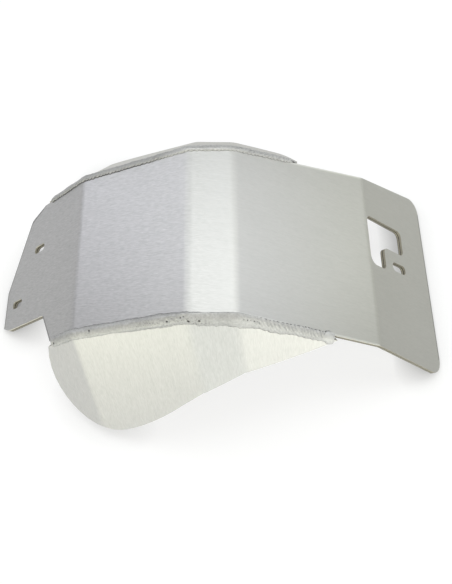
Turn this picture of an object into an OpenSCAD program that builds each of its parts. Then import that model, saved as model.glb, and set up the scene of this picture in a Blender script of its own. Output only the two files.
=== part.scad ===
// Motorcycle skid plate: a folded sheet with a leaning wing welded along each side.
// Millimetres. +X runs to the rear of the motorcycle, +Z is up, and the outer face is on top,
// as the part lies on its front and rear edges.

/* [Sheet] */
// Thickness of the sheet in every piece
sheet_t = 4.8; // [3:0.1:8]
// Inside radius of the bends
bend_r = 16; // [4:1:24]
// Facets along each bend
bend_steps = 8; // [4:1:16]

/* [Profile of the centre plate] */
// Slope of the front tab
tab_slope = 44; // [38:0.1:48]
// Slope and length of the nose panel
nose_slope = 24.9; // [20:0.1:28]
nose_len = 114.5; // [90:0.1:140]
// Length of the level panel
flat_len = 39.2; // [30:0.1:50]
// Slope and length of the tail panel
tail_slope = 26.65; // [22:0.05:30]
tail_len = 147.5; // [120:0.1:180]
// Slope and length of the rear panel
rear_slope = 42.45; // [39:0.05:46]
rear_len = 107.5; // [85:0.1:130]

/* [Widths of the centre plate] */
// Width from the tab to the level panel
body_w = 155; // [130:1:190]
// Width at the fold between tail and rear panel
tail_w = 176; // [150:1:210]
// Width at the rear edge
rear_w = 201; // [165:1:240]
// Radius of the rear corners
rear_corner_r = 15; // [6:1:24]

/* [Front tab] */
// Length of the notch beside the tab, along the panel, and how much longer it gets outward
notch_len = 76.5; // [60:0.5:85]
notch_slant = 18; // [10:0.5:26]
// Distance from the centre line to the tab's side
tab_side = 48.2; // [40:0.1:56]
// Radius in the notch's corner
notch_r = 3; // [1:0.5:6]
// Length and depth of the chamfer on the tab's corner
tab_chamfer_len = 10.5; // [5:0.5:14]
tab_chamfer = 4; // [2:0.5:7]
// Start of the slanted front edge, on the right of the centre line
slant_start = 5; // [0:0.5:12]
// Length of the slanted front edge, along the panel
slant_len = 36; // [25:0.5:44]
// Distance from the centre line to the end of that edge
slant_side = 68; // [58:0.5:72]
// Length of the lead-in beyond it, along the panel
lead_len = 24.5; // [16:0.5:30]

/* [Slots] */
// Width and length of the front slots
front_slot_w = 8.1; // [6:0.1:10]
front_slot_len = 18.6; // [14:0.5:22]
// Place of the first front slot: from the front edge, and from the centre line
slot_1_in = 22.5; // [18:0.5:30]
slot_1_side = 22.4; // [15:0.1:30]
// Place of the second front slot
slot_2_in = 56.8; // [50:0.1:70]
slot_2_side = 29; // [20:0.5:40]
// Width and length of the rear slot
rear_slot_w = 9.7; // [7:0.1:11]
rear_slot_len = 23.5; // [18:0.5:27]
// Place of the rear slot: from the last fold, and from the centre line
rear_slot_in = 51.3; // [46:0.1:57]
rear_slot_side = 2.3; // [0:0.1:5]

/* [Drain cut-out in the rear panel] */
// Nearest and farthest edge from the last fold
cut_in = 1.8; // [1:0.1:4]
cut_out = 62.8; // [52:0.1:72]
// Far and near side of the wide part, from the centre line
cut_far = 46.8; // [38:0.1:54]
cut_near = 18.9; // [14:0.1:22]
// Width of the narrow leg, and how far it passes the centre line
leg_w = 25.1; // [18:0.1:30]
leg_end = 5.5; // [2:0.5:9]
// Corner radius, and that of the leg's inner corner by the fold
cut_r = 6; // [2:0.5:8]
leg_r = 9; // [6:0.5:10]

/* [Wings] */
// Slope of the wings outward and down
wing_slope = 50; // [44:0.5:56]
// Rearward lean of the folds in the right wing and in the left wing
right_lean = 9; // [0:0.5:12]
left_lean = 3.5; // [0:0.5:12]
// Greatest depth of a wing from the weld
wing_depth = 109.7; // [90:0.1:125]
// Front end of the right wing and of the left wing, ahead of the second fold
right_wing_front = 129.3; // [118:0.1:136]
left_wing_front = 148; // [130:1:151]
// Rear end of the right wing and of the left wing, behind the second fold
right_wing_rear = 127.8; // [105:0.1:140]
left_wing_rear = 101; // [92:1:120]

/* [Welds] */
// Gap between plate and wing at the root of the weld
root_gap = 0.4; // [0.2:0.1:1]
// Reach of the right weld on the plate: on the nose, on the level panel and on the tail
right_plate_leg = [3.8, 0.9, 1.5]; // [0.5:0.1:5]
// Reach of the right weld on its wing, likewise
right_wing_leg = [2.4, 8, 4.6]; // [1:0.1:10]
// Reach of the left weld on the plate and on its wing
left_plate_leg = [2.2, 1.6, 1.6]; // [0.5:0.1:5]
left_wing_leg = [3, 5.5, 4.6]; // [1:0.1:10]
// Height of the bead
crown = 2.3; // [1:0.1:4]
// Spacing of the ripples
ripple = 3.8; // [2.4:0.1:6]
// Depth of the ripples on the tail
ripple_depth = 0.45; // [0:0.05:0.8]
// How much farther the round blob at a bead's rear end reaches
blob_reach = 1.8; // [0:0.1:3]

/* [Hidden] */
outer_r = bend_r + sheet_t;
slopes = [tab_slope, nose_slope, 0, -tail_slope, -rear_slope];
slot_fn = 48;

// Directions in the side view: along a panel, and out of it
function along(a) = [cos(a), sin(a)];
function out_of(a) = [-sin(a), cos(a)];

// Corners of the outer face where the panels would meet if the bends were sharp.
// The level panel's height puts the rear edge on the floor, and the tab's length the front edge.
top_z = tail_len * sin(tail_slope) + rear_len * sin(rear_slope) + sheet_t * cos(rear_slope);
tab_len = (top_z - nose_len * sin(nose_slope) - sheet_t * cos(tab_slope)) / sin(tab_slope);
front_reach = nose_len * cos(nose_slope) + tab_len * cos(tab_slope);
rear_reach = flat_len + tail_len * cos(tail_slope) + rear_len * cos(rear_slope);
fold_2_x = (front_reach - rear_reach) / 2;
fold_2 = [fold_2_x, top_z];
fold_1 = fold_2 - nose_len * along(nose_slope);
front = fold_1 - tab_len * along(tab_slope);
fold_3 = fold_2 + [flat_len, 0];
fold_4 = fold_3 + tail_len * along(-tail_slope);
rear = fold_4 + rear_len * along(-rear_slope);
folds = [front, fold_1, fold_2, fold_3, fold_4, rear];

// One bend as [x, z, slope] along the outer face
function bend(k) =
    let (a = slopes[k - 1], b = slopes[k], m = (a + b) / 2,
         c = folds[k] - outer_r / cos((a - b) / 2) * out_of(m))
    [for (i = [0:bend_steps])
        let (s = a + (b - a) * i / bend_steps, p = c + outer_r * out_of(s)) [p.x, p.y, s]];
function station(p, s) = [p.x, p.y, s];
// The point of a sharp-cornered panel at a given x
function at_x(k, x) = folds[k] + (x - folds[k].x) / cos(slopes[k]) * along(slopes[k]);

function outer_line() = concat([station(front, slopes[0])], bend(1), bend(2), bend(3), bend(4),
                               [station(rear, slopes[4])]);
function inner(p) = [p.x, p.y] - sheet_t * out_of(p[2]);
function reversed(v) = [for (i = [len(v) - 1:-1:0]) v[i]];

// Half the width of the centre plate at x
function half_w(x) = x < fold_3.x ? body_w / 2
    : x < fold_4.x ? (body_w + (tail_w - body_w) * (x - fold_3.x) / (fold_4.x - fold_3.x)) / 2
    : (tail_w + (rear_w - tail_w) * (x - fold_4.x) / (rear.x - fold_4.x)) / 2;

// An outline whose corners [x, y, radius] are rounded
function unit(v) = v / norm(v);
function rounded(v, n = 6) = [for (i = [0:len(v) - 1])
    let (p = [v[i][0], v[i][1]], r = v[i][2],
         q = v[(i + len(v) - 1) % len(v)], w = v[(i + 1) % len(v)],
         a = unit([q[0], q[1]] - p), b = unit([w[0], w[1]] - p),
         half = acos(a * b) / 2, c = p + r / sin(half) * unit(a + b),
         from = p + a * r / tan(half) - c, to = p + b * r / tan(half) - c,
         turn = (from.x * to.y - from.y * to.x) > 0 ? 1 : -1, sweep = turn * (180 - 2 * half),
         start = atan2(from.y, from.x))
    for (j = [0:n]) if (r > 0 || j == 0)
        r > 0 ? c + r * [cos(start + sweep * j / n), sin(start + sweep * j / n)] : p];

// Puts what is drawn on the xy plane on a panel: x along it from its front fold, z out of it
module on_panel(k) {
    translate([folds[k].x, 0, folds[k].y]) rotate([0, -slopes[k], 0]) children();
}
module through(k) {
    on_panel(k) translate([0, 0, -3 * sheet_t]) linear_extrude(height = 5 * sheet_t) children();
}
module slot(k, inset, side, w, length) {
    on_panel(k) translate([inset, side, -3 * sheet_t]) {
        for (e = [-1, 1]) translate([e * (length - w) / 2, 0, 0])
            cylinder(d = w, h = 5 * sheet_t, $fn = slot_fn);
        translate([-(length - w) / 2, -w / 2, 0]) cube([length - w, w, 5 * sheet_t]);
    }
}

// Centre plate

edge = 12;
notch_run = notch_slant / (body_w / 2 - tab_side);
tab_notch = [[-edge, -body_w / 2 - edge, 0],
             [notch_len + notch_slant + notch_run * edge, -body_w / 2 - edge, 0],
             [notch_len, -tab_side, notch_r], [tab_chamfer_len, -tab_side, 4],
             [0, tab_chamfer - tab_side, 0], [-edge, tab_chamfer - tab_side, 0]];
lead_run = lead_len / (body_w / 2 - slant_side);
tab_slant = [[-edge, -slant_start, 0], [0, -slant_start, 0], [slant_len, slant_side, 8],
             [slant_len + lead_len + lead_run * edge, body_w / 2 + edge, 0],
             [-edge, body_w / 2 + edge, 0]];
cut_outline = [[cut_in, cut_far, cut_r], [cut_out, cut_far, cut_r], [cut_out, cut_near, cut_r],
               [cut_in + leg_w, cut_near, cut_r], [cut_in + leg_w, -leg_end, 0.8 * cut_r],
               [cut_in, -leg_end, leg_r]];
// The corner of the rear panel that is taken off, on the side of positive y. The arc's first and
// last step run on a little past the panel's edges.
side_run = rear_len * 0.45;
side_y = half_w(rear.x - side_run * cos(rear_slope));
corner = rounded([[rear_len - side_run, side_y, 0], [rear_len, rear_w / 2, rear_corner_r],
                  [rear_len, rear_w / 2 - 3 * rear_corner_r, 0]]);
corner_arc = [for (i = [1:len(corner) - 2]) corner[i]];
last = len(corner_arc) - 1;
side_end = 2 * corner_arc[0] - corner_arc[1];
rear_end = 2 * corner_arc[last] - corner_arc[last - 1];
corner_cut = concat([side_end], [for (i = [1:last - 1]) corner_arc[i]],
                    [rear_end, [rear_len + edge, rear_end.y], [rear_len + edge, rear_w / 2 + edge],
                     [side_end.x, rear_w / 2 + edge]]);

module center_plate() {
    color("silver") difference() {
        intersection() {
            rotate([90, 0, 0]) linear_extrude(height = rear_w + 2 * edge, center = true)
                polygon(concat([for (p = outer_line()) [p.x, p.y]],
                               [for (p = reversed(outer_line())) inner(p)]));
            translate([0, 0, -edge]) linear_extrude(height = top_z + 2 * edge)
                polygon([[front.x - edge, -body_w / 2], [fold_3.x, -body_w / 2],
                         [fold_4.x, -tail_w / 2], [rear.x, -rear_w / 2],
                         [rear.x + edge, -half_w(rear.x + edge)],
                         [rear.x + edge, half_w(rear.x + edge)],
                         [rear.x, rear_w / 2], [fold_4.x, tail_w / 2],
                         [fold_3.x, body_w / 2], [front.x - edge, body_w / 2]]);
        }
        through(0) polygon(rounded(tab_notch));
        through(0) polygon(rounded(tab_slant));
        slot(0, slot_1_in, -slot_1_side, front_slot_w, front_slot_len);
        slot(0, slot_2_in, slot_2_side, front_slot_w, front_slot_len);
        through(4) polygon(rounded(cut_outline));
        slot(4, rear_slot_in, rear_slot_side, rear_slot_w, rear_slot_len);
        through(4) polygon(corner_cut);
        mirror([0, 1, 0]) through(4) polygon(corner_cut);
    }
}

// Wings

// Direction of the folds in the right wing, from the weld outward and down
function wing_dir(lean) =
    [sin(lean), -cos(wing_slope) * cos(lean), -sin(wing_slope) * cos(lean)];

// The plate's edge from x0 on the tab to x1 on the tail panel
function edge_line(x0, x1) =
    concat([station(at_x(0, x0), slopes[0])], bend(1), bend(2), bend(3),
           [station(at_x(3, x1), slopes[3])]);
// Direction of that edge in space: it spreads from the third fold on
function edge_dir(p) =
    let (spread = (tail_w - body_w) / 2 / (fold_4.x - fold_3.x),
         k = p[2] < 0 ? p[2] / slopes[3] : 0)
    unit([cos(p[2]), -spread * k * cos(p[2]), sin(p[2])]);
function wing_normal(p, g) = unit(cross(g, edge_dir(p)));
// Corners of plate and wing at a station: the plate's lower and upper corner, the wing's lower
// and upper corner. g is the direction of the wing's folds.
function low_corner(p) = let (q = inner(p)) [q.x, -half_w(q.x), q.y];
function top_corner(p) = [p.x, -half_w(p.x), p.y];
function wing_low(p, g) = low_corner(p) + root_gap * g;
function wing_top(p, g) = wing_low(p, g) + sheet_t * wing_normal(p, g);

// The folded blank: the plate's lower edge carried along the wing's fold direction
module wing_blank(x0, x1, g) {
    line = edge_line(x0, x1);
    n = len(line);
    reach = wing_depth * 1.3 * g;
    points = [for (p = line) each [wing_low(p, g), wing_top(p, g), wing_top(p, g) + reach,
                                   wing_low(p, g) + reach]];
    faces = concat([[0, 1, 2], [0, 2, 3]],
        [for (i = [0:n - 2], k = [0:3])
            let (a = 4 * i + k, b = 4 * i + (k + 1) % 4) each [[a, a + 4, b], [b, a + 4, b + 4]]],
        [[4 * n - 4, 4 * n - 2, 4 * n - 3], [4 * n - 4, 4 * n - 1, 4 * n - 2]]);
    polyhedron(points = points, faces = faces);
}

// A cubic curve without its last point
function curve(a, b, c, d, n = 12) = [for (i = [0:n - 1]) let (t = i / n, u = 1 - t)
    u * u * u * a + 3 * u * u * t * b + 3 * u * t * t * c + t * t * t * d];

// Outlines of the wings as [x of the fold line from the second fold, distance from the weld].
// Both wings reach equally far out.
right_outline = let (f = -right_wing_front, r = right_wing_rear, d = wing_depth, deepest = f + 45)
    concat([[f, -edge]],
           curve([f, 0], [f - 18, 0.38 * d], [f + 13, d], [deepest, d]),
           curve([deepest, d], [deepest + 20, d], [deepest + 46, 0.9 * d], [deepest + 64, 0.8 * d]),
           curve([deepest + 64, 0.8 * d], [30, 0.56 * d], [r - 48, 0.29 * d], [r, 0]),
           [[r, 0], [r + edge, -edge]]);
left_outline = let (f = -left_wing_front, r = left_wing_rear, deepest = f + 56,
                    d = wing_depth * cos(right_lean) / cos(left_lean))
    concat([[f, -edge]],
           curve([f, 0], [f + 4, 0.46 * d], [f + 26, 0.98 * d], [deepest, d]),
           curve([deepest, d], [deepest + 26, d], [-30, 0.7 * d], [2, 0.58 * d]),
           curve([2, 0.58 * d], [24, 0.5 * d], [r - 46, 0.5 * d], [r - 19, 0.41 * d]),
           curve([r - 19, 0.41 * d], [r - 10, 0.38 * d], [r - 5, 0.18 * d], [r, 0], 6),
           [[r, 0], [r + 0.4 * edge, -edge]]);

// The outline drawn on the strip of the wing below panel k, and cut square to that strip
module wing_strip(k, outline, g) {
    m = k == 0 ? 1 : k;
    turn = (slopes[m - 1] + slopes[m]) / 2;
    v = folds[m] - sheet_t / cos((slopes[m - 1] - slopes[m]) / 2) * out_of(turn);
    u = edge_dir([0, 0, slopes[k]]);
    e = unit(u - (u * g) * g);
    n = cross(e, g);
    o = [v.x, -half_w(v.x), v.y];
    first = k == 0 ? -300 : -1.5;
    last = k == 0 ? 1.5 : k == 3 ? 300 : norm(folds[k + 1] - folds[k]) * (u * e) + 1.5;
    multmatrix([[e.x, g.x, n.x, o.x], [e.y, g.y, n.y, o.y], [e.z, g.z, n.z, o.z], [0, 0, 0, 1]])
        intersection() {
            translate([0, 0, -2.5 * sheet_t]) linear_extrude(height = 5 * sheet_t)
                polygon([for (p = outline)
                    let (t = (p.x + fold_2.x - v.x) / u.x) [t * (u * e), p.y + t * (u * g)]]);
            translate([first, -300, -3 * sheet_t]) cube([last - first, 600, 6 * sheet_t]);
        }
}

// A wing as it lies on the right side
module wing(x_front, x_rear, outline, lean) {
    intersection() {
        wing_blank(fold_2.x - x_front - edge, fold_2.x + x_rear + 2, wing_dir(lean));
        union() for (k = [0:3]) wing_strip(k, outline, wing_dir(lean));
    }
}
module right_wing() {
    color("gainsboro") wing(right_wing_front, right_wing_rear, right_outline, right_lean);
}
module left_wing() {
    color("gainsboro") mirror([0, 1, 0])
        wing(left_wing_front, left_wing_rear, left_outline, left_lean);
}

// Weld beads

// Stations along the edge, two to a ripple on the straights
function mix(a, b, t) = a + (b - a) * t;
function ease(t) = let (c = max(0, min(1, t))) c * c * (3 - 2 * c);
function bead_stations(x0, x1, g) =
    let (line = edge_line(x0, x1), end = len(line) - 1)
    concat([for (i = [0:end - 1])
        let (a = line[i], b = line[i + 1], run = norm([b.x, b.y] - [a.x, a.y]),
             n = max(1, round(2 * run / ripple)))
        for (j = [0:n - 1]) let (t = j / n)
            [mix(low_corner(a), low_corner(b), t), mix(top_corner(a), top_corner(b), t),
             mix(wing_low(a, g), wing_low(b, g), t), mix(wing_top(a, g), wing_top(b, g), t),
             unit(mix([-sin(a[2]), 0, cos(a[2])], [-sin(b[2]), 0, cos(b[2])], t)),
             unit(mix(wing_normal(a, g), wing_normal(b, g), t))]],
        [let (b = line[end]) [low_corner(b), top_corner(b), wing_low(b, g), wing_top(b, g),
                              [-sin(b[2]), 0, cos(b[2])], wing_normal(b, g)]]);

// Shares of the level panel and of the tail in a bead's measures at x
mid_nose = (fold_1.x + fold_2.x) / 2;
tail_start = mix(fold_3.x, fold_4.x, 0.2);
function level_share(x) = ease((x - mid_nose) / (fold_2.x - mid_nose));
function tail_share(x) = ease((x - fold_3.x) / (tail_start - fold_3.x));
function leg_at(legs, x) = mix(mix(legs[0], legs[1], level_share(x)), legs[2], tail_share(x));

// One section: root, plate side, crown from toe to toe, wing side
function bead_section(s, reach, h, g) =
    let (toe_p = s[1] + [0, reach[0], 0], toe_w = s[3] + reach[1] * g, n_p = s[4], n_w = s[5],
         over = function (p, k, q) p + h * k * unit(mix(n_p, n_w, q)))
    [s[0], s[1], toe_p,
     over(mix(toe_p, s[1], 0.55), 0.62, 0), over(s[1], 0.96, 0.3),
     over(mix(s[1], s[3], 0.5), 1.12, 0.5), over(s[3], 1, 0.8),
     over(mix(s[3], toe_w, 0.55), 0.6, 1), toe_w, s[3], s[2]];

// A bead as it lies on the right side. Each end is rounded off and closed by a fan from the top
// of its crown, and the rear end swells to a blob.
module bead(x0, x1, plate_legs, wing_legs, lean) {
    g = wing_dir(lean);
    st = bead_stations(x0, x1, g);
    n = len(st);
    cap = 4;
    blob_steps = 8;
    sections = [for (i = [0:n - 1])
        let (x = st[i][1].x, e = min(i, n - 1 - i), left = n - 1 - i,
             size = e < cap ? sqrt(1 - pow(1 - (e + 0.6) / (cap + 1), 2)) : 1,
             blob = left < blob_steps ? sin(180 * left / blob_steps) : 0,
             wander = 1 + 0.08 * sin(i * 17) + 0.05 * sin(i * 47),
             reach = size * [wander * leg_at(plate_legs, x) + blob_reach * blob,
                             wander * leg_at(wing_legs, x) + blob_reach * blob],
             depth = ripple_depth * mix(0.4, 1, tail_share(x)) * (1 - blob),
             lump = 1 - (i % 2) * depth / crown + 0.08 * sin(i * 23) + 0.06 * sin(i * 61))
        bead_section(st[i], reach, crown * size * (lump + 0.4 * blob), g)];
    m = len(sections[0]);
    top = 5;
    z = m * (n - 1);
    fan = [for (k = [1:m - 2]) [(top + k) % m, (top + k + 1) % m]];
    polyhedron(points = [for (s = sections) each s],
        faces = concat([for (f = fan) [top, f[0], f[1]]],
            [for (i = [0:n - 2], k = [0:m - 1])
                let (a = m * i + k, b = m * i + (k + 1) % m) each [[a, a + m, b], [b, a + m, b + m]]],
            [for (f = fan) [z + top, z + f[1], z + f[0]]]));
}
module right_weld() {
    color("lightgray")
        bead(fold_2.x - right_wing_front + 1, fold_2.x + right_wing_rear - 2,
             right_plate_leg, right_wing_leg, right_lean);
}
module left_weld() {
    color("lightgray") mirror([0, 1, 0])
        bead(fold_2.x - left_wing_front + 1, fold_2.x + left_wing_rear,
             left_plate_leg, left_wing_leg, left_lean);
}

center_plate();
right_wing();
left_wing();
right_weld();
left_weld();
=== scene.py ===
# Motorcycle skid plate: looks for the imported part, in metres, in the part's own frame.
import math

import bpy
import numpy as np
from mathutils import Matrix, Vector


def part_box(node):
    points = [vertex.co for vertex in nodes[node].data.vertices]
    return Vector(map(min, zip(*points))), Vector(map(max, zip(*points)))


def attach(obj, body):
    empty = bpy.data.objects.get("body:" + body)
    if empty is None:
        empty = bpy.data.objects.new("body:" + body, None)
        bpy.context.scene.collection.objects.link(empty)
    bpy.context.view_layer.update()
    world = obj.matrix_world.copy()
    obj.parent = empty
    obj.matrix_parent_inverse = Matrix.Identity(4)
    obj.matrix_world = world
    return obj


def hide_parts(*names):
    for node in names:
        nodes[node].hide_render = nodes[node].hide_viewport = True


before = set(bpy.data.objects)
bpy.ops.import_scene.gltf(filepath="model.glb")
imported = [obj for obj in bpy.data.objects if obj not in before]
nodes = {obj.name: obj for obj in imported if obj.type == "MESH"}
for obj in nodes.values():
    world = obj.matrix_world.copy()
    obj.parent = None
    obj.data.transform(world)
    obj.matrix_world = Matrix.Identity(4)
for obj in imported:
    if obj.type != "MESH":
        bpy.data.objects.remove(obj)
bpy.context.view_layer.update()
mm = 0.001
print("stage: frame loaded,", len(nodes), "nodes")

# Camera
camera = {
    "place": (-0.00043, -0.23056, 0.58534),
    "right": (0.99985, -0.0160, 0.00637),
    "forward": (0.01171, 0.3602, -0.93286),
    "focal": 585.0,  # in pixels of the photograph
    "frame": 584.0,  # its longer side
}


def addCamera():
    data = bpy.data.cameras.new("camera")
    data.sensor_width = 36.0
    data.lens = camera["focal"] / camera["frame"] * data.sensor_width
    data.clip_start = 0.01
    data.clip_end = 50.0
    back = -Vector(camera["forward"]).normalized()
    right = Vector(camera["right"])
    right = (right - right.dot(back) * back).normalized()
    up = back.cross(right)
    turn = Matrix((right, up, back)).transposed().to_4x4()
    obj = bpy.data.objects.new("camera", data)
    obj.matrix_world = Matrix.Translation(camera["place"]) @ turn
    bpy.context.scene.collection.objects.link(obj)
    bpy.context.scene.camera = obj


addCamera()


# Shader maths: a socket that adds its own nodes
class Wire:
    def __init__(self, tree, socket):
        self.tree = tree
        self.socket = socket

    def op(self, operation, *others, clamp=False):
        node = self.tree.nodes.new("ShaderNodeMath")
        node.operation = operation
        node.use_clamp = clamp
        for place, value in zip(node.inputs, (self,) + others):
            plug(self.tree, place, value)
        return Wire(self.tree, node.outputs[0])

    def __add__(self, other):
        return self.op("ADD", other)

    def __radd__(self, other):
        return self.op("ADD", other)

    def __sub__(self, other):
        return self.op("SUBTRACT", other)

    def __rsub__(self, other):
        return self.op("MULTIPLY_ADD", -1.0, other)

    def __mul__(self, other):
        return self.op("MULTIPLY", other)

    def __rmul__(self, other):
        return self.op("MULTIPLY", other)

    def __truediv__(self, other):
        return self.op("DIVIDE", other)

    def least(self, other):
        return self.op("MINIMUM", other)

    def most(self, other):
        return self.op("MAXIMUM", other)

    def size(self):
        return self.op("ABSOLUTE")

    def ramp(self, low, high):
        # 0 below low and 1 above high, smooth between them
        node = self.tree.nodes.new("ShaderNodeMapRange")
        node.interpolation_type = "SMOOTHSTEP"
        for place, value in zip(node.inputs, (self, low, high, 0.0, 1.0)):
            plug(self.tree, place, value)
        return Wire(self.tree, node.outputs[0])

    def band(self, middle, half, soft):
        # 1 within half of middle, fading over soft
        return 1.0 - (self - middle).size().ramp(half, half + soft)


def plug(tree, place, value):
    if isinstance(value, Wire):
        tree.links.new(value.socket, place)
    elif isinstance(value, (tuple, list, Vector)) and place.type == "RGBA":
        place.default_value = tuple(value)[:3] + (1.0,)
    else:
        place.default_value = value


class Finish:
    # One material and its node tree
    def __init__(self, name):
        self.material = bpy.data.materials.new(name)
        self.material.use_nodes = True
        self.tree = self.material.node_tree
        self.tree.nodes.clear()
        self.point = self.node("ShaderNodeTexCoord", {}, {}, "Object")
        self.facing = self.node("ShaderNodeNewGeometry", {}, {}, "True Normal")

    def node(self, kind, settings, inputs, out=0):
        made = self.tree.nodes.new(kind)
        for key, value in settings.items():
            setattr(made, key, value)
        for key, value in inputs.items():
            plug(self.tree, made.inputs[key], value)
        return Wire(self.tree, made.outputs[out]) if made.outputs else made

    def dot(self, wire, direction):
        return self.node("ShaderNodeVectorMath", {"operation": "DOT_PRODUCT"},
                         {0: wire, 1: tuple(direction)}, "Value")

    def stretched(self, axes, sizes):
        # Coordinates along three directions, each divided by its own size in millimetres
        parts = [self.dot(self.point, Vector(a) / (s * mm)) for a, s in zip(axes, sizes)]
        return self.node("ShaderNodeCombineXYZ", {}, dict(enumerate(parts)))

    def noise(self, where, scale=1.0, detail=2.0, rough=0.5, warp=0.0):
        return self.node("ShaderNodeTexNoise", {}, {"Vector": where, "Scale": scale, "Detail": detail,
                                                    "Roughness": rough, "Distortion": warp})

    def stored(self, label):
        # A value kept at each point of the mesh
        return self.node("ShaderNodeAttribute", {"attribute_name": label}, {}, "Fac")

    def blend(self, share, first, second, kind="MIX"):
        # Sockets 6 and 7, and output 2, are the node's colours
        return self.node("ShaderNodeMix", {"data_type": "RGBA", "blend_type": kind},
                         {0: share, 6: first, 7: second}, 2)

    def grey(self, value):
        return self.node("ShaderNodeCombineColor", {}, {0: value, 1: value, 2: value})

    def tint(self, colour, factor):
        return self.blend(1.0, colour, self.grey(factor), "MULTIPLY")

    def bump(self, height, strength, distance):
        return self.node("ShaderNodeBump", {}, {"Strength": strength, "Distance": distance,
                                                "Height": height})

    def close(self, colour, rough, metal, normal=None):
        inputs = {"Base Color": colour, "Roughness": rough, "Metallic": metal}
        if normal is not None:
            inputs["Normal"] = normal
        shader = self.node("ShaderNodeBsdfPrincipled", {}, inputs)
        self.node("ShaderNodeOutputMaterial", {}, {"Surface": shader})
        return self.material


# Sheets
sheet = {
    "thick": 4.8,
    "colour": (0.495, 0.495, 0.495),
    "rearColour": (0.497, 0.497, 0.465),  # of the plate's rear half, a little warmer
    "leftWingColour": (0.545, 0.54, 0.51),
    "steepPaintedShade": 0.062,  # painted shade: how much darker the plate's steep end panels are, by the way they face
    "rough": 0.48,
    "cutColour": (0.36, 0.34, 0.28),
    "cutHighlightColour": (0.50, 0.49, 0.44),  # its lighter rim, partly a worn edge and partly painted highlight
    "cutDark": (0.07, 0.065, 0.055),
    "cutLine": (2.5, 0.2, 0.35),  # dark line on a cut face: its depth, half width and soft edge
    "cutLip": (4.2, 4.6),  # where the dark lower lip begins and is full
    "cutRough": 0.15,  # rougher than the faces by this
    "cutMetal": 0.55,  # and less like metal by this
    "cutRimHighlight": (0.25, 0.7),  # painted highlight on the worn rim of a cut face: full to this depth, gone at this one
    "nearCutRimHighlight": (0.5, 0.6),  # painted highlight: how much deeper both are on the near side
    "rimShare": 0.45,  # how far a worn rim darkens the face beside it
    "highlightLift": 0.3,  # how far a painted highlight along a rim lightens the face
    "rimWidth": 1.3,
    "flatness": (0.99995, 2e-5),  # likeness of direction and distance of faces on one panel
    "marks": {
        # size along the brushing and across it, detail, roughness and warp
        "fine": (7.0, 0.6, 2.0, 0.5, 0.3),
        "dash": (5.0, 0.85, 1.0, 0.5, 0.5),
        "streak": (60.0, 2.2, 3.0, 0.6, 0.0),
        "broad": (70.0, 70.0, 2.0, 0.5, 0.0),
    },
    "strength": {"fine": 0.12, "streak": 0.09, "broad": 0.05},
    "dashes": {"front": 0.46, "rearLess": 0.33, "wing": 0.30},  # their strength
    "roughGrain": 0.16,
    "bump": (0.16, 0.00006),
}


def outerPlanes(name, least=0.06, upward=0.3):
    # The flat panels on the outer side of a folded sheet, as (direction, distance from the origin)
    alike, apart = sheet["flatness"]
    groups = []
    for face in nodes[name].data.polygons:
        if face.normal.z < upward:
            continue
        for group in groups:
            if group[0].dot(face.normal) > alike and abs(group[1] - face.center.dot(group[0])) < apart:
                group[2] += face.area
                break
        else:
            groups.append([face.normal.copy(), face.center.dot(face.normal), face.area])
    whole = sum(group[2] for group in groups)
    return [(group[0], group[1]) for group in groups if group[2] > least * whole]


def depthUnder(look, planes):
    # Millimetres below the outer face, which follows the folds
    depth = None
    for normal, offset in planes:
        here = (offset - look.dot(look.point, normal)) * (1 / mm)
        depth = here if depth is None else depth.least(here)
    return depth


def cutEdge(look, depth, streak, broad, cutHighlightShare):
    # A cut face: two greys with a dark line and lip, and a lighter rim, partly a worn edge and partly
    # painted highlight, with more painted highlight on the near side
    wavy = depth + (broad - 0.5) * 0.8
    dark = wavy.band(*sheet["cutLine"]).most(depth.ramp(*sheet["cutLip"]))
    edge = look.blend(dark, sheet["cutColour"], sheet["cutDark"])
    # painted highlight: cut faces looking to the near side get a wider, lighter rim and a lighter face
    near = look.dot(look.facing, (0, -1, 0)).ramp(0.6, 0.9) * cutHighlightShare
    (full, gone), (fullMore, goneMore) = sheet["cutRimHighlight"], sheet["nearCutRimHighlight"]
    rim = (1.0 - depth.ramp(full + near * fullMore, gone + near * goneMore)) * cutHighlightShare
    edge = look.blend(rim, edge, sheet["cutHighlightColour"])
    return look.tint(edge, 0.85 + streak * 0.3 + near * (1.0 - depth.ramp(0.9, 1.3)) * 0.5)


def plainPlace(look):
    # A sheet's tint, dark rim, painted highlight along a rim, and share of painted highlight on the cut
    # faces' rims
    return sheet["colour"], 0.0, 0.0, 1.0


def leftWingPlace(look):
    return sheet["leftWingColour"], 0.0, 0.0, 1.0


def sheetFinish(label, name, axes, cutMask, dashes, place=plainPlace):
    look = Finish(label)
    tint, darkRim, highlightRim, cutHighlightShare = place(look)

    def marks(kind):
        length, width, detail, rough, warp = sheet["marks"][kind]
        where = look.stretched(axes, (length, width, width))
        return look.noise(where, detail=detail, rough=rough, warp=warp)

    fine, dash, streak, broad = (marks(kind) for kind in ("fine", "dash", "streak", "broad"))
    strength = sheet["strength"]
    grain = (fine - 0.5) * strength["fine"] + (dash - 0.5) * dashes(look)
    grain = grain + (streak - 0.5) * strength["streak"] + (broad - 0.5) * strength["broad"]
    # the dark rims, and painted highlight along the tail's rims
    rimDarkAndHighlight = 1.0 - darkRim * sheet["rimShare"] + highlightRim * sheet["highlightLift"]
    face = look.tint(tint, (1.0 + grain) * rimDarkAndHighlight)
    cut = cutMask(look)
    edge = cutEdge(look, depthUnder(look, outerPlanes(name)), streak, broad, cutHighlightShare)
    colour = look.blend(cut, face, edge)
    rough = sheet["rough"] + (fine - 0.5) * sheet["roughGrain"] + cut * sheet["cutRough"]
    normal = look.bump(fine + streak * 0.6, *sheet["bump"])
    return look.close(colour, rough, 1.0 - cut * sheet["cutMetal"], normal)


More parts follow.
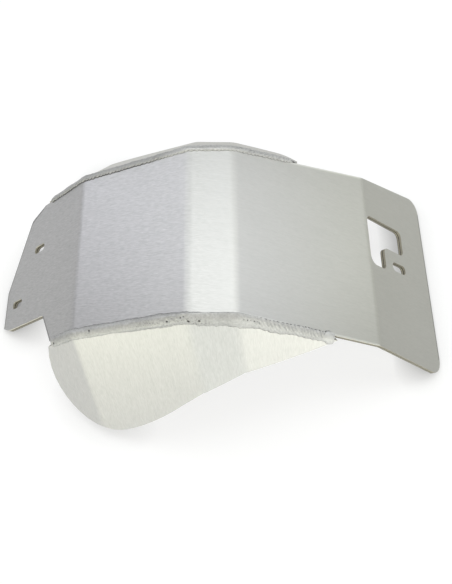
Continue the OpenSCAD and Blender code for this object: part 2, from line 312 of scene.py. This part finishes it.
def plateCut(look):
    # Cut faces look sideways, or against the way the faces of the sheet look at that place
    side = look.dot(look.facing, (0, 1, 0)).size().ramp(0.25, 0.35)
    ahead = look.dot(look.point, (1, 0, 0)).op("SIGN")
    turned = look.dot(look.facing, (1, 0, 0)) * ahead * look.dot(look.facing, (0, 0, 1)).op("SIGN")
    return side.most((turned * -1.0).ramp(0.25, 0.35))


def wingCut(mean, tip):
    # The cut faces, but for the thin rear tip, which is burnished like the faces
    def mask(look):
        edges = 1.0 - look.dot(look.facing, mean).size().ramp(0.66, 0.74)
        atTip = look.dot(look.point, (1, 0, 0)).ramp(tip - 0.016, tip - 0.012)
        return edges * (1.0 - atTip * 0.85)
    return mask


def plateDashes(look):
    # The brushing shows most on the front half
    rear = look.dot(look.point, (1, 0, 0)).ramp(-0.06, 0.02)
    return sheet["dashes"]["front"] - rear * sheet["dashes"]["rearLess"]


def wingDashes(look):
    return sheet["dashes"]["wing"]


# Straight rims of the plate, seen from above, in millimetres
wornRims = (
    ((-224.0, -5.0), (-199.1, 65.2)),  # slanted edge of the tab
    ((-168.4, -49.6), (-156.0, -77.5)),  # notch
    ((-224.0, -44.2), (-224.0, -5.0)),  # front edge
    ((-199.1, 65.2), (-180.5, 77.5)),  # between the tab and the far bead
    ((224.0, 83.0), (224.0, -83.0)),  # rear edge
)
tailHighlightLine = ((12.0, 77.5), (144.0, 88.0))  # painted highlight along the tail's rims, on both sides


def besideLine(look, ends, width, bothSides=False):
    # 1 beside a straight line from one end to the other, seen from above
    (ax, ay), (bx, by) = ends
    length = math.hypot(bx - ax, by - ay)
    ux, uy = (bx - ax) / length, (by - ay) / length
    x = look.dot(look.point, (1 / mm, 0, 0))
    y = look.dot(look.point, (0, 1 / mm, 0))
    if bothSides:
        y = y.size()
    across = (x - ax) * -uy + (y - ay) * ux
    down = (x - ax) * ux + (y - ay) * uy
    return across.band(0.0, width * 0.5, width * 0.7) * down.band(length / 2, length / 2, 1.0)


def platePlace(look):
    # The rear half is a little warmer; the steep end panels get painted shade, a little darker by the way
    # they face
    x = look.dot(look.point, (1 / mm, 0, 0))
    steepFacing = look.dot(look.facing, (1, 0, 0)).size().ramp(0.60, 0.67)
    colour = look.blend(x.ramp(0.0, 150.0), sheet["colour"], sheet["rearColour"])
    colour = look.tint(colour, 1.0 - steepFacing * sheet["steepPaintedShade"])
    dark = 0.0
    for ends in wornRims:
        dark = besideLine(look, ends, sheet["rimWidth"]).most(dark)
    tailHighlight = besideLine(look, tailHighlightLine, sheet["rimWidth"] * 1.4, bothSides=True)
    cutHighlightShare = 1.0 - x.ramp(140.0, 150.0)  # share of painted highlight on the cut faces' rims, up to the last fold
    return colour, dark, tailHighlight, cutHighlightShare


def dress(name, material):
    data = nodes[name].data
    if not data.materials:
        data.materials.append(material)
    for slot in nodes[name].material_slots:
        slot.material = material


wing = {
    "slope": 50.0,
    "leanRight": 9.0,
    "leanLeft": 3.5,
}


def wingDown(lean, side):
    # The way a wing hangs from its root
    slope, turn = math.radians(wing["slope"]), math.radians(lean)
    return math.sin(turn), side * math.cos(slope) * math.cos(turn), -math.sin(slope) * math.cos(turn)


def wingAxes(lean, side):
    slope = math.radians(wing["slope"])
    down = Vector(wingDown(lean, side))
    out = Vector((0, side * math.sin(slope), math.cos(slope)))
    along = down.cross(out).normalized()
    return down, along, along.cross(down).normalized()


def finishPlate():
    # The brushing runs a little aslant, and hardly changes with height
    axes = (Vector((0.993, -0.122, 0)), Vector((0.122, 0.993, 0)), Vector((0, 0, 0.16)))
    look = sheetFinish("plateAluminium", "center_plate", axes, plateCut, plateDashes, platePlace)
    dress("center_plate", look)


def finishWing(name, lean, side, place):
    mean = Vector((-0.05, side * 0.76, 0.64)).normalized()  # of the directions its panels face
    cut = wingCut(mean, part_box(name)[1][0])
    look = sheetFinish(name + "Aluminium", name, wingAxes(lean, side), cut, wingDashes, place)
    dress(name, look)


finishPlate()
finishWing("right_wing", wing["leanRight"], -1, plainPlace)
finishWing("left_wing", wing["leanLeft"], 1, leftWingPlace)
print("stage: sheets finished")

# Side view of the centre plate, in millimetres, as the solids have it
profile = {
    "slopes": (44.0, 24.9, 0.0, -26.65, -42.45),  # tab, nose, level, tail and rear panel
    "nose": 114.5,
    "level": 39.2,
    "tail": 147.5,
    "rear": 107.5,
    "bendRadius": 16.0 + sheet["thick"],  # of the outer face
    "bendSteps": 8,
    "bodyHalf": 77.5,
    "tailHalf": 88.0,  # half width at the last fold
}


def along(slope):
    return np.array([math.cos(math.radians(slope)), math.sin(math.radians(slope))])


def outOf(slope):
    return np.array([-math.sin(math.radians(slope)), math.cos(math.radians(slope))])


def unit(v):
    return v / np.linalg.norm(v)


def mix(a, b, t):
    return a + (b - a) * t


def ease(t):
    t = min(1.0, max(0.0, t))
    return t * t * (3 - 2 * t)


def foldPoints():
    slopes = profile["slopes"]
    rise = [math.sin(math.radians(a)) for a in slopes]
    top = -profile["tail"] * rise[3] - profile["rear"] * rise[4]
    top += sheet["thick"] * math.cos(math.radians(slopes[4]))
    tabRise = top - profile["nose"] * rise[1] - sheet["thick"] * math.cos(math.radians(slopes[0]))
    tabLength = tabRise / rise[0]
    lengths = (tabLength, profile["nose"], profile["level"], profile["tail"], profile["rear"])
    points = [np.zeros(2)]
    for slope, length in zip(slopes, lengths):
        points.append(points[-1] + length * along(slope))
    points = np.array(points)
    points[:, 0] -= (points[0, 0] + points[-1, 0]) / 2
    points[:, 1] += top - points[2, 1]
    return points


folds = foldPoints()


def onPanel(k, x):
    # The sharp-cornered panel at x
    slope = profile["slopes"][k]
    return folds[k] + (x - folds[k][0]) / math.cos(math.radians(slope)) * along(slope)


def bendLine(k):
    before, after = profile["slopes"][k - 1:k + 1]
    radius = profile["bendRadius"]
    middle = folds[k] - radius / math.cos(math.radians((before - after) / 2)) * outOf((before + after) / 2)
    turns = np.linspace(before, after, profile["bendSteps"] + 1)
    return [(*(middle + radius * outOf(turn)), turn) for turn in turns]


def halfWidth(x):
    share = max(0.0, (x - folds[3][0]) / (folds[4][0] - folds[3][0]))
    return profile["bodyHalf"] + (profile["tailHalf"] - profile["bodyHalf"]) * share


# Welds, in millimetres. A reach is given at a few places along x, on the plate and on the wing.
weld = {
    "gap": 0.4,
    "step": 0.55,  # between stations
    "rings": 30,  # points from toe to toe
    "sunk": 0.25,  # how far the underside lies in the sheets
    "cap": 6.0,  # length of a rounded end
    "taper": 16.0,  # length of a rear end that runs out
    "spacing": 3.8,
    "depth": 0.62,
    "slant": 9.0,  # how far a ripple runs back from the upper toe to the lower one
    "teeth": 0.9,  # of the ripples' ends on the plate
    "lumps": 0.8,
    "ragged": 0.16,  # unevenness of the upper toe
    "scallops": 0.65,  # of the lower toe
    "disc": {"radius": 6.4, "centre": 6.35, "rise": 0.30},  # the puddle that closes the bead
    "colour": (0.553, 0.556, 0.555),
    "rough": 0.60,
    "metal": 0.75,
    "darkestSootAndShade": 0.72,  # how dark full soot and painted shade are
    "beads": {
        "right_weld": {
            "side": -1, "lean": wing["leanRight"], "front": 128.3, "rear": 125.8,
            "crown": 2.3, "disc": True,
            "plate": ((-155, 3.6), (-115, 4.0), (-50, 3.8), (-30, 2.4), (-12, 0.5), (25, 0.9),
                      (45, 0.3), (65, 1.7), (100, 1.5)),
            "wing": ((-155, 2.8), (-125, 2.2), (-90, 2.0), (-70, 3.5), (-32, 4.6), (-9, 7.2),
                     (18, 8.6), (30, 6.6), (45, 6.6), (65, 4.7), (100, 4.6)),
            "seed": 3.0, "spatter": (92, 172), "frontRipples": 0.1,
            "darkerFront": (200, 0.15), "toeShare": (0, 1.0),
            # pores as (distance along the bead, share of its width, radius, depth)
            "pores": ((6.7, 0.59, 1.6, 0.9), (49.0, 0.38, 0.7, 0.4), (54.0, 0.41, 0.9, 1.3),
                      (114.6, 0.52, 0.8, 0.6), (130.0, 0.55, 1.0, 0.9), (143.0, 0.44, 0.9, 0.8),
                      (145.6, 0.39, 0.9, 0.7), (148.9, 0.66, 1.1, 1.3), (152.9, 0.79, 0.7, 0.6),
                      (157.8, 0.59, 1.0, 1.2), (167.7, 0.62, 0.7, 0.4), (194.4, 0.41, 0.7, 0.7),
                      (197.7, 0.42, 0.8, 0.9), (200.5, 0.40, 0.7, 0.7), (203.8, 0.42, 0.8, 0.9),
                      (206.5, 0.41, 0.7, 0.7), (209.3, 0.46, 0.7, 0.7)),
        },
        "left_weld": {
            "side": 1, "lean": wing["leanLeft"], "front": 147.0, "rear": 101.0,
            "crown": 1.7, "disc": False,
            "plate": ((-174, 2.4), (-60, 2.0), (-20, 1.6), (75, 1.6)),
            "wing": ((-174, 3.0), (-50, 3.2), (0, 5.5), (40, 5.0), (75, 4.6)),
            "seed": 8.0, "spatter": (215, 262), "frontRipples": 0.7,
            "darkerFront": (165, 0.21), "toeShare": (150, 0.35),
            "pores": ((2.0, 0.12, 1.3, 1.3), (222.6, 0.45, 0.8, 0.9), (234.1, 0.80, 0.8, 0.7),
                      (279.5, 0.14, 1.3, 1.2), (280.0, 0.3, 3.2, 1.0)),
        },
    },
}


def edgeCorners(x, z, slope, down):
    # Upper corner of the plate's edge and of the wing's root, and the two outward directions
    half = halfWidth(x)
    inner = np.array([x, z]) - sheet["thick"] * outOf(slope)
    spread = (profile["tailHalf"] - profile["bodyHalf"]) / (folds[4][0] - folds[3][0])
    share = slope / profile["slopes"][3] if slope < 0 else 0.0
    run = along(slope)
    wingOut = unit(np.cross(down, unit(np.array([run[0], -spread * share * run[0], run[1]]))))
    low = np.array([inner[0], -halfWidth(inner[0]), inner[1]])
    root = low + weld["gap"] * down
    plateOut = np.array([outOf(slope)[0], 0.0, outOf(slope)[1]])
    return np.array([[x, -half, z], low, root, root + sheet["thick"] * wingOut, plateOut, wingOut])


def beadStations(bead):
    down = np.array(wingDown(bead["lean"], -1))  # both are worked out as the right one
    first = onPanel(0, folds[2][0] - bead["front"])
    last = onPanel(3, folds[2][0] + bead["rear"])
    line = [(*first, profile["slopes"][0])] + bendLine(1) + bendLine(2) + bendLine(3)
    line.append((*last, profile["slopes"][3]))
    stations = []
    travelled = 0.0
    for a, b in zip(line[:-1], line[1:]):
        ends = edgeCorners(*a, down), edgeCorners(*b, down)
        length = math.hypot(b[0] - a[0], b[1] - a[1])
        count = max(1, round(length / weld["step"]))
        for i in range(count):
            stations.append((travelled + length * i / count, mix(ends[0], ends[1], i / count)))
        travelled += length
    stations.append((travelled, edgeCorners(*line[-1], down)))
    return stations, down


def smoothThrough(points, count):
    # A smooth line through the points of one section
    points = np.array(points)
    padded = np.vstack([2 * points[0] - points[1], points, 2 * points[-1] - points[-2]])
    lengths = np.r_[0, np.cumsum(np.linalg.norm(np.diff(points, axis=0), axis=1))]
    result = []
    for s in np.linspace(0, lengths[-1], count):
        k = min(np.searchsorted(lengths, s, side="right") - 1, len(points) - 2)
        t = (s - lengths[k]) / max(1e-9, lengths[k + 1] - lengths[k])
        p = padded[k:k + 4]
        result.append(0.5 * (2 * p[1] + (p[2] - p[0]) * t + (2 * p[0] - 5 * p[1] + 4 * p[2] - p[3]) * t * t
                             + (3 * p[1] - p[0] - 3 * p[2] + p[3]) * t ** 3))
    return result


def fullness(bead, distance, total):
    # Share of the full section at a place along the bead, and how far the closing puddle swells it
    def roundEnd(left, length):
        return math.sqrt(1 - (1 - (left + 0.3) / (length + 0.3)) ** 2)

    if distance < weld["cap"]:
        return roundEnd(distance, weld["cap"]), 0.0
    if not bead["disc"]:
        left = total - distance
        return (roundEnd(left, weld["taper"]) if left < weld["taper"] else 1.0), 0.0
    radius = weld["disc"]["radius"]
    past = distance - (total - weld["disc"]["centre"])
    chord = math.sqrt(max(0.0, radius ** 2 - past ** 2))
    half = radius - 1.6  # of the bead beside the puddle
    return (min(1.0, chord / half + 0.02) if past > 0 else 1.0), max(0.0, chord - half)


def beadWaves(bead, distance, x, rounded, swollen):
    # Reach on the plate and on the wing, height, share of rear ripples, and ripple phase at a station
    def swing(rate, shift=0.0):
        return math.sin(distance * rate + shift)

    wave = 1 + 0.07 * swing(0.19, bead["seed"]) + 0.03 * swing(0.53) + 0.03 * swing(0.83, 2 * swing(0.07))
    onPlate, onWing = (rounded * wave * np.interp(x, *zip(*bead[where])) + swollen
                       for where in ("plate", "wing"))
    tailStart = mix(folds[3][0], folds[4][0], 0.2)
    tail = mix(bead["frontRipples"], 1.0, ease((x - folds[3][0]) / (tailStart - folds[3][0])))
    phase = distance + 1.1 * swing(0.11, bead["seed"]) + 0.6 * swing(0.37)
    onPlate += weld["teeth"] * tail * rounded * ((phase / weld["spacing"]) % 1.0 - 0.5)
    onPlate += weld["ragged"] * rounded * (swing(0.57) + 0.7 * swing(1.31, 2))
    scallop = abs(swing(0.33, 1.5 * swing(0.12))) - 0.6
    onWing += weld["scallops"] * rounded * (scallop + 0.35 * swing(1.3))
    height = bead["crown"] * rounded * (1 + 0.08 * swing(0.23) + 0.05 * swing(0.71, 1) + 0.12 * swollen)
    return onPlate, onWing, height, tail, phase


def beadRing(corners, down, onPlate, onWing, height, rounded):
    # One closed section, from the toe on the plate over the top to the toe on the wing, and back below
    top, low, root, wingTop, plateOut, wingOut = corners
    toeP = top + np.array([0, onPlate, 0])
    toeW = wingTop + onWing * down

    def over(p, k, q):
        return p + height * k * unit(mix(plateOut, wingOut, q))

    shape = [toeP - 0.1 * plateOut, over(mix(toeP, top, 0.5), 0.66, 0.0), over(top, 0.97, 0.3),
             over(mix(top, wingTop, 0.5), 1.12, 0.5), over(wingTop, 1.04, 0.8),
             over(mix(wingTop, toeW, 0.45), 0.88, 0.95), over(mix(wingTop, toeW, 0.85), 0.46, 1.0),
             toeW - 0.1 * wingOut]
    middle = mix(top, wingTop, 0.5)
    shape = [mix(middle, p, 0.3 + 0.7 * rounded) for p in shape]
    under = [wingTop - weld["sunk"] * wingOut, root, low, top - weld["sunk"] * plateOut]
    return smoothThrough(shape, weld["rings"]) + under


def tubeFaces(size, count):
    # Faces of a closed tube of count rings with size points each
    faces = [(a + i, a + (i + 1) % size, a + size + (i + 1) % size, a + size + i)
             for a in range(0, size * (count - 1), size) for i in range(size)]
    faces.append(tuple(range(size))[::-1])
    faces.append(tuple(range(size * (count - 1), size * count)))
    return faces


def beadMarks(bead, alongs, acrosses, total):
    # Pores, closing puddle, spatter, darkening towards the front and dark toe, as one value at each point
    def fade(distances, soft):
        return np.clip(distances / soft, 0, 1)

    disc = weld["disc"]
    width = weld["rings"] * 0.6
    pits = np.zeros(len(alongs))
    for where, share, radius, depth in bead["pores"]:
        far = np.hypot(alongs - where, (acrosses - share) * width) / radius
        pits = np.maximum(pits, depth * np.exp(-far ** 2))
    fromCentre = np.hypot(alongs - (total - disc["centre"]), (acrosses - 0.5) * width * 0.7)
    low, high = bead["spatter"]
    return {
        "pit": pits,
        "disc": np.clip((disc["radius"] - fromCentre) / 0.9 + 0.5, 0, 1) * bead["disc"],
        "spatter": fade(alongs - low, 12) * fade(high - alongs, 12),
        "darkerFront": fade(bead["darkerFront"][0] - alongs, 25) * bead["darkerFront"][1],
        "toe": mix(bead["toeShare"][1], 1.0, fade(bead["toeShare"][0] - alongs, 25)),
    }


def beadSkin(name, bead):
    # The bead without its ripples: a closed tube whose points know their place on the bead
    stations, down = beadStations(bead)
    total = stations[-1][0]
    points, outs = [], []
    kept = {"along": [], "phase": [], "across": [], "tail": []}
    for distance, corners in stations:
        plateOut, wingOut = corners[4:]
        rounded, swollen = fullness(bead, distance, total)
        onPlate, onWing, height, tail, phase = beadWaves(bead, distance, corners[0][0], rounded, swollen)
        for i, p in enumerate(beadRing(corners, down, onPlate, onWing, height, rounded)):
            t = min(1.0, i / (weld["rings"] - 1))
            points.append(p)
            outs.append(unit(mix(plateOut, wingOut, t)) if i < weld["rings"] else np.zeros(3))
            for label, value in (("along", distance), ("phase", phase), ("across", t), ("tail", tail)):
                kept[label].append(value)
    kept = {label: np.array(values) for label, values in kept.items()}
    kept.update(beadMarks(bead, kept.pop("along"), kept["across"], total))
    mirror = np.array([1, -bead["side"], 1])
    faces = tubeFaces(weld["rings"] + 4, len(stations))
    if bead["side"] > 0:
        faces = [face[::-1] for face in faces]
    data = bpy.data.meshes.new(name + "Skin")
    data.from_pydata((np.array(points) * mirror * mm).tolist(), [], faces)
    for label, values in kept.items():
        data.attributes.new(label, "FLOAT", "POINT").data.foreach_set("value", values)
    outward = data.attributes.new("outward", "FLOAT_VECTOR", "POINT")
    outward.data.foreach_set("vector", (np.array(outs) * mirror).ravel())
    data.update()
    return data


def rippleTree():
    # Raises the ripples and lumps of a weld bead and sinks its pores
    tree = bpy.data.node_groups.new("weldRipples", "GeometryNodeTree")
    face = tree.interface
    face.new_socket("Geometry", in_out="INPUT", socket_type="NodeSocketGeometry")
    numbers = ("Spacing", "Depth", "Slant", "Lumps", "Rise")
    for label in numbers:
        face.new_socket(label, in_out="INPUT", socket_type="NodeSocketFloat")
    face.new_socket("Material", in_out="INPUT", socket_type="NodeSocketMaterial")
    face.new_socket("Geometry", in_out="OUTPUT", socket_type="NodeSocketGeometry")
    start = tree.nodes.new("NodeGroupInput")
    given = {label: Wire(tree, start.outputs[label]) for label in numbers}

    def stored(label, kind="FLOAT"):
        node = tree.nodes.new("GeometryNodeInputNamedAttribute")
        node.data_type = kind
        node.inputs["Name"].default_value = label
        return Wire(tree, node.outputs["Attribute"])

    def noise(where, scale):
        node = tree.nodes.new("ShaderNodeTexNoise")
        tree.links.new(where.outputs[0], node.inputs["Vector"])
        node.inputs["Scale"].default_value = scale
        return Wire(tree, node.outputs[0]) - 0.5

    across, tail, disc = stored("across"), stored("tail"), stored("disc")
    middle = 1.0 - (across * 2.0 - 1.0).op("POWER", 2.0)
    run = 1.0 - (1.0 - across).op("POWER", 1.5)
    tooth = ((stored("phase") - given["Slant"] * run) / given["Spacing"]).op("FRACT")
    scale = (tooth.op("POWER", 0.55) * math.pi).op("SINE")
    strength = across.ramp(0.0, 0.08) * (1.0 - across.ramp(0.6, 1.0) * 0.7) * tail * (1.0 - disc)
    groove = (tooth - 0.5).size().ramp(0.34, 0.5) * tail * (1.0 - disc)
    place = tree.nodes.new("GeometryNodeInputPosition")
    coarse = noise(place, 260.0)
    fine = noise(place, 800.0) * (0.55 + stored("spatter") * 0.7)
    lumps = (coarse + fine) * given["Lumps"] * middle.op("SQRT") * (1.0 - disc * 0.6)
    ripples = (scale - 0.6) * given["Depth"] * strength
    height = (ripples + disc * given["Rise"] + lumps - stored("pit")) * mm
    kept = tree.nodes.new("GeometryNodeStoreNamedAttribute")
    kept.inputs["Name"].default_value = "groove"
    plug(tree, kept.inputs["Value"], groove)
    tree.links.new(start.outputs["Geometry"], kept.inputs["Geometry"])
    lift = tree.nodes.new("ShaderNodeVectorMath")
    lift.operation = "SCALE"
    plug(tree, lift.inputs[0], stored("outward", "FLOAT_VECTOR"))
    plug(tree, lift.inputs["Scale"], height)
    moved = tree.nodes.new("GeometryNodeSetPosition")
    tree.links.new(lift.outputs[0], moved.inputs["Offset"])
    soft = tree.nodes.new("GeometryNodeSetShadeSmooth")
    solid = tree.nodes.new("GeometryNodeRealizeInstances")
    painted = tree.nodes.new("GeometryNodeSetMaterial")
    end = tree.nodes.new("NodeGroupOutput")
    for a, b in ((kept, moved), (moved, soft), (soft, solid), (solid, painted), (painted, end)):
        tree.links.new(a.outputs[0], b.inputs["Geometry"])
    tree.links.new(start.outputs["Material"], painted.inputs["Material"])
    return tree


def weldFinish():
    look = Finish("weldAluminium")
    labels = ("across", "groove", "disc", "darkerFront", "toe")
    across, groove, disc, darkerFront, toe = (look.stored(label) for label in labels)

    def specks(size, detail, rough=0.5):
        where = look.stretched(((1, 0, 0), (0, 1, 0), (0, 0, 1)), (size, size, size))
        return look.noise(where, detail=detail, rough=rough)

    spots = specks(1.8, 4.0, 0.65)
    cloud = specks(14.0, 2.0)
    grit = specks(1.5, 1.0)

    # Darkening: at both toes, most on the rear half, partly soot and partly painted shade in the creases;
    # painted shade in the pores and the ripple grooves; a dark ring on the upper side of the puddle; soot
    # as spatter
    rear = look.stored("tail") * toe * (1.0 - disc)
    # painted shade in the creases at both toes, partly soot
    upperToe = 1.0 - across.ramp(0.02 + rear * 0.02, 0.07 + rear * 0.04 + groove * 0.18)
    lowerToe = across.ramp(0.92 - rear * 0.04, 0.965)
    ring = disc.band(0.5, 0.15, 0.3) * (1.0 - across.ramp(0.3, 0.55))
    sootAndShade = upperToe * toe * (0.55 + cloud * 0.6 + groove * 0.8 + rear * 0.8)
    sootAndShade = sootAndShade + lowerToe * (0.65 + cloud * 0.8 + rear * 1.6)
    # painted shade in the pores and ripple grooves, and a dark ring on the puddle's upper side
    sootAndShade = sootAndShade + look.stored("pit").ramp(0.15, 0.8)
    sootAndShade = sootAndShade + groove * (0.15 + darkerFront * 2.2) * (1.0 - across * 0.6) + ring * 0.5
    sootAndShade = sootAndShade + look.stored("spatter") * grit.ramp(0.52, 0.75) * across.ramp(0.2, 0.6) * 0.45
    # darker towards the bead's front, over a given length
    shade = 1.0 - darkerFront + (spots - 0.5) * (0.8 - disc * 0.3) + (cloud - 0.5) * 0.25 + disc * 0.08
    colour = look.tint(weld["colour"], shade * (1.0 - sootAndShade.least(1.0) * weld["darkestSootAndShade"]))
    rough = weld["rough"] + (spots - 0.5) * 0.25 + sootAndShade * 0.2
    return look.close(colour, rough, weld["metal"], look.bump(spots + grit * 0.5, 0.5, 0.0005))


def makeWelds():
    tree = rippleTree()
    material = weldFinish()
    sockets = {item.name: item.identifier for item in tree.interface.items_tree if item.in_out == "INPUT"}
    for name, bead in weld["beads"].items():
        raw = bpy.data.objects.new(name + "Raw", beadSkin(name, bead))
        bpy.context.scene.collection.objects.link(raw)
        step = raw.modifiers.new("ripples", "NODES")
        step.node_group = tree
        for label in ("Spacing", "Depth", "Slant", "Lumps"):
            step[sockets[label]] = weld[label.lower()]
        step[sockets["Rise"]] = weld["disc"]["rise"]
        step[sockets["Material"]] = material
        ready = raw.evaluated_get(bpy.context.evaluated_depsgraph_get())
        piece = bpy.data.objects.new(name + "Bead", bpy.data.meshes.new_from_object(ready))
        bpy.data.objects.remove(raw)
        bpy.context.scene.collection.objects.link(piece)
        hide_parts(name)
        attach(piece, "root")


makeWelds()
print("stage: welds made")

# Floor and light
studio = {
    "floorSize": 12.0,
    "world": 0.22,
    "floor": (0.30, 0.303, 0.309),
    "glow": 0.71,  # the floor's own white, for the camera and in reflections
    "contact": 0.03,  # reach of the painted shade that dims the floor's glow under and beside the object
    "lamps": [
        # name, place, aimed at, width, depth, power, colour
        ("overhead", (0.10, 0.5, 1.5), (0, 0, 0), 0.9, 0.9, 6.94, (0.97, 1, 0.98)),
        ("leftTop", (-0.68, 0.6, 1.4), (0, 0, 0), 0.5, 0.9, 3.3, (0.97, 1, 0.95)),
        ("rightTop", (0.82, 0.6, 1.35), (0, 0, 0), 0.5, 1.4, 4.45, (0.99, 1, 0.92)),
        ("leftHigh", (-1.25, 0.80, 0.95), (0, 0, 0.05), 0.85, 1.15, 5.0, (0.91, 0.92, 1)),
        ("rightHigh", (1.33, 0.54, 0.95), (0, 0, 0.05), 0.7, 1.4, 4.03, (0.92, 0.95, 1)),
        ("leftLow", (-1.55, 0.6, 0.40), (0, 0, 0.05), 0.5, 0.9, 0.25, (1, 0.89, 0.99)),
        ("rightLow", (1.6, 0.6, 0.40), (0, 0, 0.05), 0.5, 0.9, 0.35, (1, 0.97, 0.4)),
        ("front", (0.0, -1.7, 0.35), (0, 0, 0.05), 1.4, 0.5, 6.26, (0.97, 1, 0.91)),
        ("frontRight", (1.2, -1.4, 0.45), (0, 0, 0.05), 1.0, 0.7, 9.87, (1, 1, 0.87)),
        ("frontLeft", (-1.2, -1.3, 0.45), (0, 0, 0.05), 1.0, 0.7, 10.5, (1, 1, 0.81)),
        ("cameraSide", (-0.15, -0.65, 1.5), (0, 0, 0), 0.9, 0.7, 4.81, (1, 0.93, 0.87)),
    ],
}


def addFloor():
    half = studio["floorSize"] / 2
    data = bpy.data.meshes.new("floor")
    data.from_pydata([(-half, -half, 0), (half, -half, 0), (half, half, 0), (-half, half, 0)], [],
                     [(0, 1, 2, 3)])
    obj = bpy.data.objects.new("floor", data)
    bpy.context.scene.collection.objects.link(obj)
    look = Finish("floorWhite")
    direct, glossy, through = (look.node("ShaderNodeLightPath", {}, {}, ray)
                               for ray in ("Is Camera Ray", "Is Glossy Ray", "Is Transmission Ray"))
    # painted shade: the floor's glow is dimmed where the object is near
    clear = look.node("ShaderNodeAmbientOcclusion", {}, {"Distance": studio["contact"]}, "AO")
    light = direct.most(glossy).most(through) * studio["glow"] * (0.1 + clear * 0.9)
    glow = look.node("ShaderNodeEmission", {}, {"Color": look.grey(light)})
    paint = look.node("ShaderNodeBsdfDiffuse", {}, {"Color": studio["floor"]})
    both = look.node("ShaderNodeAddShader", {}, {0: paint, 1: glow})
    look.node("ShaderNodeOutputMaterial", {}, {"Surface": both})
    data.materials.append(look.material)


def addLamps():
    for name, place, aim, width, depth, power, colour in studio["lamps"]:
        data = bpy.data.lights.new(name, "AREA")
        data.shape = "RECTANGLE"
        data.size = width
        data.size_y = depth
        data.energy = power
        data.color = colour
        obj = bpy.data.objects.new(name, data)
        toward = Vector(aim) - Vector(place)
        obj.matrix_world = Matrix.Translation(place) @ toward.to_track_quat("-Z", "Y").to_matrix().to_4x4()
        bpy.context.scene.collection.objects.link(obj)


def addWorld():
    world = bpy.data.worlds.new("studio")
    world.use_nodes = True
    ground = world.node_tree.nodes["Background"]
    ground.inputs["Color"].default_value = (1, 1, 1, 1)
    ground.inputs["Strength"].default_value = studio["world"]
    bpy.context.scene.world = world


addFloor()
addLamps()
addWorld()
bpy.context.scene.view_settings.view_transform = "Standard"
print("stage: studio lit")
